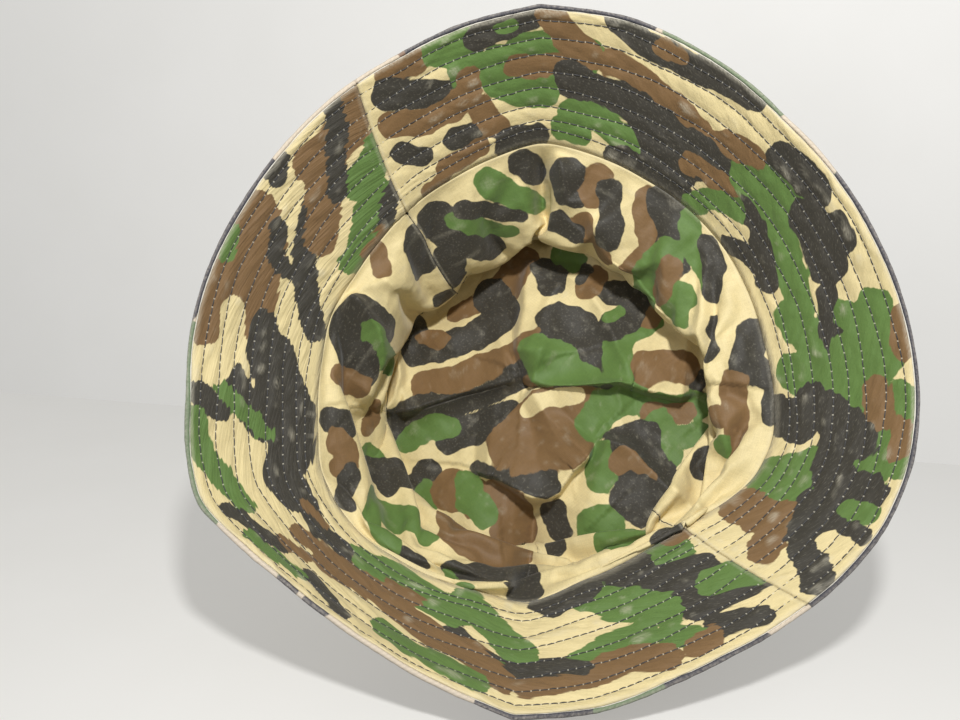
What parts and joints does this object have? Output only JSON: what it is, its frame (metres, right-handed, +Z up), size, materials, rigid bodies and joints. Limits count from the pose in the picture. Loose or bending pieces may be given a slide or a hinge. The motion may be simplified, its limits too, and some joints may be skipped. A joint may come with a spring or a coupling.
{
  "type": "bucket hat",
  "caption": "Reversible camouflage bucket hat with a round tip, a tapered side band and a stiff sloping brim held by rings of stitching.",
  "frame": {"origin": "on the hat's axis, in the plane that the rim of the brim rests on", "axes": "+Z up through the crown's tip; the side seams lie on the X axis, so +Y is the back half and -Y the front half"},
  "size_m": [0.28, 0.28, 0.1295],
  "materials": {
    "outer_twill": "ribbed cotton twill, woodland camouflage print in sand, grey-green and navy, matt",
    "lining_cotton": "thin plain-weave cotton, woodland camouflage print in khaki, green, brown and black, slight sheen",
    "interlining": "stiff unbleached canvas",
    "sewing_thread": "black polyester sewing thread, slight sheen"
  },
  "bodies": {
    "root": {"brim_interlining_back": "interlining", "brim_interlining_front": "interlining", "brim_stitch_row_1": "sewing_thread", "brim_stitch_row_2": "sewing_thread", "brim_stitch_row_3": "sewing_thread", "brim_stitch_row_4": "sewing_thread", "brim_stitch_row_5": "sewing_thread", "brim_stitch_row_6": "sewing_thread", "brim_stitch_row_7": "sewing_thread", "crown_edge_stitch": "sewing_thread", "inner_brim_back": "lining_cotton", "inner_brim_front": "lining_cotton", "inner_brim_seam_threads": "sewing_thread", "inner_crown_seam_thread": "sewing_thread", "inner_side_back": "lining_cotton", "inner_side_front": "lining_cotton", "inner_side_seam_threads": "sewing_thread", "inner_tip": "lining_cotton", "inner_tip_seam_thread": "sewing_thread", "outer_brim_back": "outer_twill", "outer_brim_front": "outer_twill", "outer_brim_seam_threads": "sewing_thread", "outer_crown_seam_thread": "sewing_thread", "outer_side_back": "outer_twill", "outer_side_front": "outer_twill", "outer_side_seam_threads": "sewing_thread", "outer_tip": "outer_twill", "outer_tip_seam_thread": "sewing_thread", "rim_seam_thread": "sewing_thread"}
  },
  "joints": []
}
